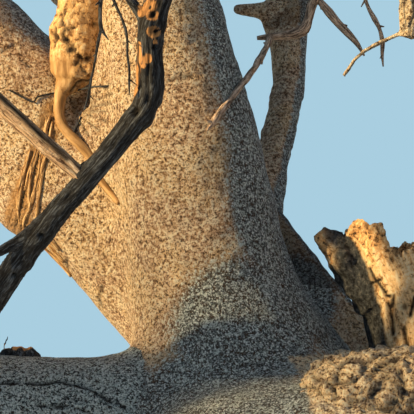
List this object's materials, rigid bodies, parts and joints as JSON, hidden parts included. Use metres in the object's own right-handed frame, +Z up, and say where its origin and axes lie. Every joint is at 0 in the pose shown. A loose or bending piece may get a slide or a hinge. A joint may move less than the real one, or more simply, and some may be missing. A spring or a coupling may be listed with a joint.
{
  "type": "baobab tree",
  "caption": "Bare baobab with a stout flared trunk, a spreading fork of thick tapering boughs, broken dead limbs and a full crown of leafless twigs.",
  "frame": {"origin": "middle of the flat cut under the trunk, at ground level", "axes": "+Z up along the trunk, +Y away from a viewer who sees the low limb on the left, +X to that viewer's right"},
  "size_m": [11.0053, 9.1488, 9.1547],
  "materials": {
    "bark": "matt, finely pitted living bark",
    "callus": "smooth tan callus wood",
    "dead_wood": "weathered grey dead wood",
    "red_dead_wood": "reddish brown weathered dead wood",
    "broken_wood": "cracked bare wood",
    "gnarled_bark": "rough gnarled bark",
    "twig_wood": "matt grey-brown twig bark"
  },
  "bodies": {
    "root": {"trunk": "bark", "centre_bough": "bark", "left_bough": "bark", "low_limb": "bark", "low_limb_outer": "bark", "rear_bough": "bark", "right_bough": "bark", "right_back_bough": "bark", "front_bough": "bark", "back_bough": "bark", "far_bough": "bark", "broken_stub": "broken_wood", "burl": "gnarled_bark", "knob_bough": "callus", "callus_limb": "callus", "dead_limb": "dead_wood", "dead_limb_low_prong": "dead_wood", "dead_limb_top_prong": "dead_wood", "dead_side_limb": "red_dead_wood", "hanging_dead_twig": "dead_wood", "low_side_front": "bark", "low_side_left": "bark", "left_side_back": "bark", "left_side_front": "bark", "centre_side_right": "bark", "rear_side_left": "bark", "rear_side_right": "bark", "right_side_front": "bark", "right_side_back": "bark", "right_back_side": "bark", "front_side_left": "bark", "front_side_right": "bark", "snag": "gnarled_bark", "hanging_dead_spray": "dead_wood", "low_limb_twigs": "twig_wood", "left_bough_twigs": "twig_wood", "centre_bough_twigs": "twig_wood", "rear_bough_twigs": "twig_wood", "right_bough_twigs": "twig_wood", "right_back_bough_twigs": "twig_wood", "front_bough_twigs": "twig_wood", "back_bough_twigs": "twig_wood", "far_bough_twigs": "twig_wood", "knob_bough_twigs": "twig_wood", "low_side_front_twigs": "twig_wood", "low_side_left_twigs": "twig_wood", "left_side_back_twigs": "twig_wood", "left_side_front_twigs": "twig_wood", "centre_side_right_twigs": "twig_wood", "rear_side_left_twigs": "twig_wood", "rear_side_right_twigs": "twig_wood", "right_side_front_twigs": "twig_wood", "right_side_back_twigs": "twig_wood", "right_back_side_twigs": "twig_wood", "front_side_left_twigs": "twig_wood", "front_side_right_twigs": "twig_wood"}
  },
  "joints": []
}
